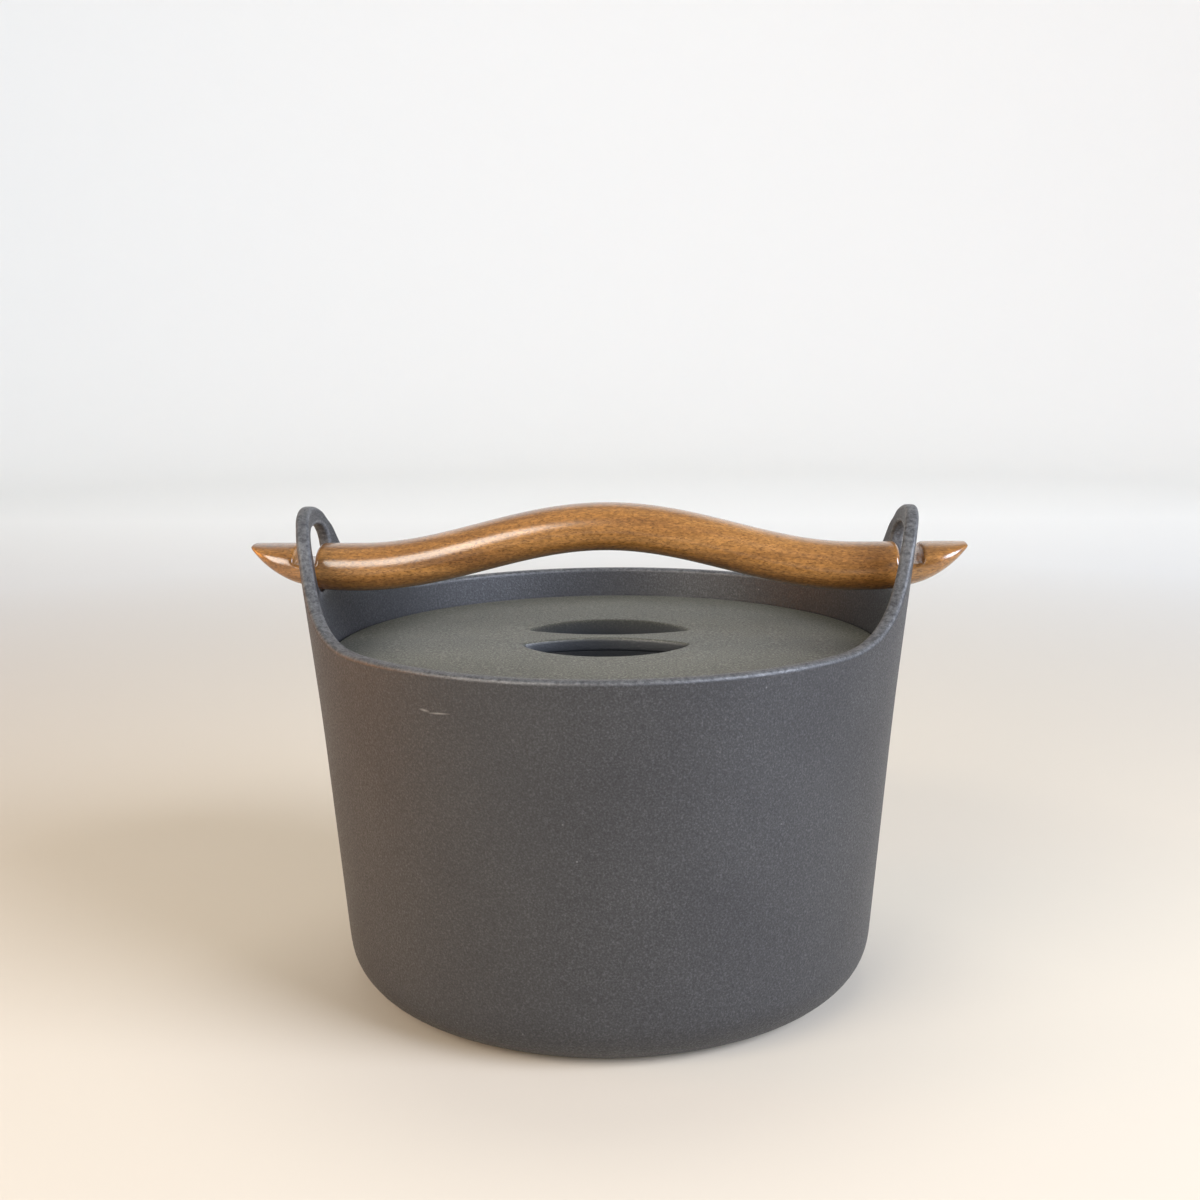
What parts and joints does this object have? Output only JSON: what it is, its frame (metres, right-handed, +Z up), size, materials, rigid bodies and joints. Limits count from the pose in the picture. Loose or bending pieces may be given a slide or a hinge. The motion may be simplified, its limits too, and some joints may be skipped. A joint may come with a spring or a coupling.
{
  "type": "cast iron casserole pot",
  "caption": "Round tapered cast iron pot with pierced ears, a set-in lid bridged by a waisted bar, and a loose bow handle of wood that lifts into notches under the ears.",
  "frame": {"origin": "middle of the flat base, on the surface that the pot stands on", "axes": "+Z up, +X along the handle from ear to ear, +Y away from the viewer of the picture"},
  "size_m": [0.247, 0.205, 0.1666],
  "materials": {
    "cast_iron": "matte, sand cast",
    "enamel": "glossy vitreous enamel",
    "wood": "oiled and lacquered"
  },
  "bodies": {
    "pot": {"pot": "cast_iron", "enamel_lining": "enamel"},
    "lid": {"lid": "cast_iron"},
    "handle": {"handle": "wood"}
  },
  "joints": [
    {"name": "lid_lift", "type": "slide", "parent": "pot", "child": "lid", "axis": [0, 0, 1], "range_m": [0, 0.014]},
    {"name": "handle_lift", "type": "slide", "parent": "pot", "child": "handle", "axis": [0, 0, 1], "range_m": [0, 0.0098]}
  ]
}
